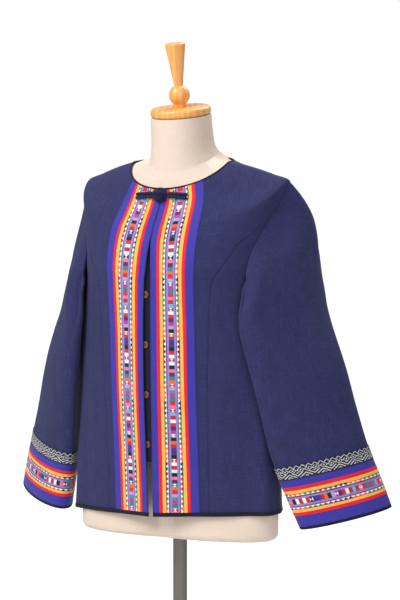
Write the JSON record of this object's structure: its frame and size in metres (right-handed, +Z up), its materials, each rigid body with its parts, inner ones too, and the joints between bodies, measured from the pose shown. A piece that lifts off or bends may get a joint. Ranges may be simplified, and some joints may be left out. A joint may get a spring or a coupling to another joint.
{
  "type": "jacket on dress form",
  "caption": "Collarless open-front cotton jacket with long sleeves and patchwork ribbon bands, worn on a limbless dress form with neck cap, finial, pole and round base.",
  "frame": {"origin": "centre of the round base's underside, on the floor", "axes": "+Z up along the pole, the jacket's front faces -Y, the wearer's left is +X"},
  "size_m": [0.7418, 0.3, 1.5651],
  "materials": {
    "navy_cotton": "matte slubby plain weave",
    "binding": "matte plain weave",
    "patchwork": "ribbons and pieced cotton, matte",
    "woven_trim": "woven black and white ribbon",
    "coconut": "polished",
    "linen": "matte fine canvas",
    "beech": "satin varnish",
    "steel": "satin"
  },
  "bodies": {
    "root": {"front_left": "navy_cotton", "front_right": "navy_cotton", "side_front_left": "navy_cotton", "side_front_right": "navy_cotton", "back": "navy_cotton", "sleeve_left": "navy_cotton", "sleeve_right": "navy_cotton", "front_ribbon_left": "patchwork", "front_ribbon_right": "patchwork", "cuff_ribbon_left": "patchwork", "cuff_ribbon_right": "patchwork", "cuff_woven_left": "woven_trim", "cuff_woven_right": "woven_trim", "cuff_binding_left": "binding", "cuff_binding_right": "binding", "hem_binding": "binding", "neck_binding": "binding", "button_strip": "binding", "button_1": "coconut", "button_2": "coconut", "button_3": "coconut", "button_4": "coconut", "frog_loop": "navy_cotton", "frog_stem": "navy_cotton", "frog_knot": "navy_cotton", "dress_form": "linen", "neck_cap": "beech", "finial": "beech", "pole": "steel", "base": "steel"}
  },
  "joints": []
}
